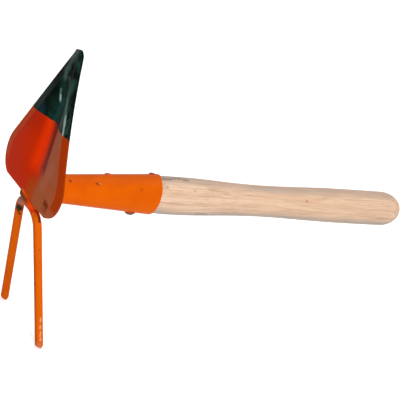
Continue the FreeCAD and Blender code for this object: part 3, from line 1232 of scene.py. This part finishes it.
@dataclass(kw_only=True)
class NoseBead(ModelledPiece):
    """The fillet bead round the socket's nose on the back of the blade, open below the crown's bead."""

    node: str = "blade_weld"
    name: str = "nose_bead"
    slot: Slot = Slot.ENAMEL
    centre_mm: Triple = (-349.1, 0.0, 0.0)
    ring_radius_mm: float = 10.3
    radius_mm: float = 3.2
    lean_degrees: float = 4.1
    end_drop_mm: float = 7.2
    end_taper_degrees: float = 14.0
    merge_mm: float = 0.01
    steps: int = 180
    sides: int = 40
    skin: WeldMetal = WeldMetal(pitch_mm=1.9, ripple_mm=0.22, crescent_mm=1.2, lump_mm=0.35)

    def spun(self, reach: float) -> bmesh.types.BMesh:
        """Spin a round section over the nose, in millimetres round the origin.

        Args:
            reach: How far the bead runs down to either side of the top, in radians.

        Returns:
            A bent bar of even thickness with open ends.
        """
        mesh = bmesh.new()
        bmesh.ops.create_circle(mesh, segments=self.sides, radius=self.radius_mm)
        stand = Matrix.Rotation(math.pi / 2, 4, "X")
        lift = Matrix.Translation((0.0, 0.0, self.ring_radius_mm))
        back = Matrix.Rotation(-reach, 4, "X")
        bmesh.ops.transform(mesh, matrix=back @ lift @ stand, verts=mesh.verts)
        bmesh.ops.spin(
            mesh,
            geom=mesh.verts[:] + mesh.edges[:],
            cent=(0.0, 0.0, 0.0),
            axis=ALONG,
            dvec=(0.0, 0.0, 0.0),
            angle=2 * reach,
            steps=self.steps,
        )
        return mesh

    def shape(self) -> bmesh.types.BMesh:
        """Taper the bead's ends until they close, ripple its skin, and lean it as the blade leans.

        Returns:
            Its mesh.
        """
        reach = math.acos(-self.end_drop_mm / self.ring_radius_mm)
        taper = math.radians(self.end_taper_degrees)
        mesh = self.spun(reach)
        # The bead stops at the blade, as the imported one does
        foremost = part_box(self.node)[0].x / MM - self.centre_mm[0]
        lean = Matrix.Rotation(math.radians(self.lean_degrees), 3, "Y")
        for vertex in mesh.verts:
            angle = math.atan2(-vertex.co.y, vertex.co.z)
            middle = Vector((0.0, -math.sin(angle), math.cos(angle))) * self.ring_radius_mm
            outward = (vertex.co - middle).normalized()
            past = max(0.0, abs(angle) - reach + taper) / taper
            radius = self.radius_mm * math.sqrt(max(0.0, 1 - past**2))
            depth = self.skin.sunk(vertex.co, angle * self.ring_radius_mm, outward.x)
            place = lean @ (middle + outward * max(0.0, radius - depth))
            place.x = max(place.x, foremost)
            vertex.co = (place + Vector(self.centre_mm)) * MM
        bmesh.ops.remove_doubles(mesh, verts=mesh.verts, dist=self.merge_mm * MM)
        return mesh

    def finish(self) -> Enamel:
        """Dip the bead."""
        return Enamel("enamel_on_nose_bead")


@dataclass(kw_only=True)
class SeamTack(ModelledPiece):
    """The button of weld metal that holds the socket's seam shut."""

    node: str = "seam_tack"
    name: str = "tack_button"
    slot: Slot = Slot.ENAMEL
    along_mm: float = -278.8
    seat_radius_mm: float = 14.6
    turn_degrees: float = 24.0
    half_sizes_mm: Triple = (3.1, 3.0, 1.6)
    rise_mm: float = 1.1
    rings: int = 36
    sides: int = 56
    skin: WeldMetal = WeldMetal(
        pitch_mm=1.7, ripple_mm=0.12, crescent_mm=1.0, lump_size_mm=1.8, lump_mm=0.35
    )
    # Enamel that ran thin over the lumps
    overlaid_coats: tuple[Coat, ...] = (Coat("#a04a1c", 0.7, patches=Patches((2.0, 2.0, 2.0), 0.3, 0.6)),)

    def shape(self) -> bmesh.types.BMesh:
        """Press the button onto the seam.

        Returns:
            Its mesh.
        """
        mesh = bmesh.new()
        bmesh.ops.create_uvsphere(mesh, u_segments=self.sides, v_segments=self.rings, radius=1.0)
        turn = Matrix.Rotation(-math.radians(self.turn_degrees), 3, "X")
        height = self.seat_radius_mm + self.rise_mm - self.half_sizes_mm[2]
        for vertex in mesh.verts:
            outward = vertex.co.normalized()
            skin = Vector(outward[axis] * self.half_sizes_mm[axis] for axis in range(3))
            depth = self.skin.sunk(skin, skin.x, outward.y)
            place = turn @ (skin - outward * depth + Vector((0.0, 0.0, height)))
            vertex.co = (place + Vector((self.along_mm, 0.0, 0.0))) * MM
        return mesh

    def finish(self) -> Enamel:
        """Dip the button."""
        return Enamel("enamel_on_tack", overlaid_coats=self.overlaid_coats)


@dataclass(kw_only=True)
class HammeredNail(ModelledPiece):
    """A nail driven through the socket into the wood, its head flattened here and there by the hammer."""

    slot: Slot = Slot.NAIL_STEEL
    side: Side
    seat_radius_mm: float
    foot_mm: float
    turn_degrees: float = 24.0
    blow_size_mm: float = 2.2
    blow_mm: float = 0.35
    merge_mm: float = 0.001
    smear: str = "#b4500e"
    # Where the smear round the foot is whole and where it ends, outward from the foot
    smear_whole_mm: float = -0.2
    smear_ends_mm: float = 0.5

    def shape(self) -> bmesh.types.BMesh:
        """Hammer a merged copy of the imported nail.

        Returns:
            Its mesh.
        """
        mesh = bmesh.new()
        mesh.from_mesh(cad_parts[self.node].data)
        bmesh.ops.remove_doubles(mesh, verts=mesh.verts, dist=self.merge_mm * MM)
        mesh.normal_update()
        for vertex in mesh.verts:
            place = vertex.co / MM
            proud = max(0.0, math.hypot(place.y, place.z) - self.seat_radius_mm)
            blow = self.blow_mm * soft_noise(place, self.blow_size_mm)
            # A blow takes away half of what stands proud at the most
            vertex.co -= vertex.normal * min(proud / 2, blow) * MM
        return mesh

    def finish(self) -> NailSteel:
        """Blacken the nail and smear its foot with the socket's enamel."""
        turn = math.radians(self.turn_degrees)
        outward = (0.0, self.side.value * math.sin(turn), self.side.value * math.cos(turn))
        foot = Fade(
            Measure.PLACE, outward, self.foot_mm + self.smear_ends_mm, self.foot_mm + self.smear_whole_mm
        )
        return NailSteel(name=f"{self.name}_steel", smears=(Coat(self.smear, fades=(foot,)),))


@dataclass(frozen=True)
class Lamp:
    """A soft box: where it stands, what it looks at, its size in metres and its power in watts."""

    name: str
    place: Triple
    target: Triple
    size: float
    power: float


@dataclass(frozen=True)
class Studio:
    """Pale floor, white surroundings and soft boxes."""

    floor_radius: float = 12.0
    floor_sides: int = 64
    floor_drop: float = 0.0005
    floor_colour: str = "#f4f4f4"
    floor_roughness: float = 0.9
    floor_glow: float = 0.5
    surroundings: float = 0.26
    lamps: tuple[Lamp, ...] = (
        Lamp("key_softbox", (-0.78, -2.02, 1.0), (-0.1, 0.0, 0.0), 0.8, 35.5),
        Lamp("top_softbox", (0.3, 0.3, 2.0), (-0.1, 0.0, 0.0), 1.4, 20.0),
    )

    def build_floor(self, height: float) -> None:
        """Lay the matt white floor, which glows only for what looks at it.

        Args:
            height: Where the object stands.
        """
        mesh = bmesh.new()
        bmesh.ops.create_circle(mesh, cap_ends=True, segments=self.floor_sides, radius=self.floor_radius)
        bmesh.ops.translate(mesh, verts=mesh.verts, vec=(0.0, 0.0, height - self.floor_drop))
        data = bpy.data.meshes.new("studio_floor")
        mesh.to_mesh(data)
        mesh.free()
        surface = Surface("matt_white_floor", self.floor_roughness)
        glow = {0: seen_directly(surface.tree), 1: self.floor_glow}
        inputs = {
            "Base Color": linear_colour(self.floor_colour),
            "Emission Color": WHITE,
            "Emission Strength": surface.add("ShaderNodeMath", glow, operation="MULTIPLY").outputs["Value"],
        }
        data.materials.append(surface.finished(inputs))
        floor = bpy.data.objects.new("studio_floor", data)
        bpy.context.scene.collection.objects.link(floor)

    def build_world(self) -> None:
        """Surround the object with white, dimmer for the light that falls on it than for what is seen."""
        world = bpy.data.worlds.new("white_surroundings")
        world.use_nodes = True
        bpy.context.scene.world = world
        tree = world.node_tree
        background = tree.nodes["Background"]
        background.inputs["Color"].default_value = WHITE
        levels = {"Value": seen_directly(tree), "To Min": self.surroundings, "To Max": 1.0}
        strength = add_node(tree, "ShaderNodeMapRange", levels)
        tree.links.new(strength.outputs["Result"], background.inputs["Strength"])

    def build_lamps(self) -> None:
        """Hang the soft boxes."""
        for lamp in self.lamps:
            data = bpy.data.lights.new(lamp.name, "AREA")
            data.shape = "SQUARE"
            data.size = lamp.size
            data.energy = lamp.power
            box = bpy.data.objects.new(lamp.name, data)
            box.location = lamp.place
            aim = Vector(lamp.target) - Vector(lamp.place)
            box.rotation_euler = aim.to_track_quat("-Z", "Y").to_euler()
            bpy.context.scene.collection.objects.link(box)

    def build(self, height: float) -> None:
        """Set up the whole studio.

        Args:
            height: Where the object stands.
        """
        self.build_floor(height)
        self.build_world()
        self.build_lamps()
        bpy.context.scene.view_settings.view_transform = "Standard"
        log.info("studio set up with %d soft boxes", len(self.lamps))


@dataclass(frozen=True)
class PhotoCamera:
    """The camera that took the photograph, worked out from the mirror symmetry of the head."""

    place: Triple = (-0.924929, -0.984638, 0.506343)
    right: Triple = (0.82981, -0.46507, 0.30841)
    up: Triple = (-0.05023, 0.48817, 0.87130)
    back: Triple = (-0.55578, -0.73850, 0.38173)
    lens_mm: float = 138.92
    sensor_mm: float = 36.0
    nearest: float = 0.05
    farthest: float = 50.0

    def build(self) -> None:
        """Set up the camera and make it the scene's."""
        data = bpy.data.cameras.new("photo_camera")
        data.lens = self.lens_mm
        data.sensor_width = self.sensor_mm
        data.clip_start = self.nearest
        data.clip_end = self.farthest
        camera = bpy.data.objects.new("photo_camera", data)
        turn = Matrix((self.right, self.up, self.back)).transposed()
        camera.matrix_world = Matrix.Translation(self.place) @ turn.to_4x4()
        bpy.context.scene.collection.objects.link(camera)
        bpy.context.scene.camera = camera
        log.info("camera set up with a %.0f mm lens", self.lens_mm)


def write_sizes() -> None:
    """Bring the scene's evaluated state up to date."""
    bpy.context.view_layer.update()


def main() -> None:
    """Build the camera, the studio and every piece in order."""
    logging.basicConfig(level=logging.INFO)
    PhotoCamera().build()
    lowest = min(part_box(node)[0].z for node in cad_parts)
    Studio().build(lowest)
    pieces: tuple[Piece, ...] = (
        Blade(),
        Socket(),
        Fork(),
        Handle(),
        CrownBead(),
        NoseBead(),
        SeamTack(),
        HammeredNail(
            node="top_nail", name="top_nail_hammered", side=Side.TOP, seat_radius_mm=17.2, foot_mm=17.4
        ),
        HammeredNail(
            node="bottom_nail",
            name="bottom_nail_hammered",
            side=Side.UNDERNEATH,
            seat_radius_mm=16.1,
            foot_mm=16.3,
        ),
    )
    for piece in pieces:
        piece.build()
    write_sizes()


if __name__ == "__main__":
    main()
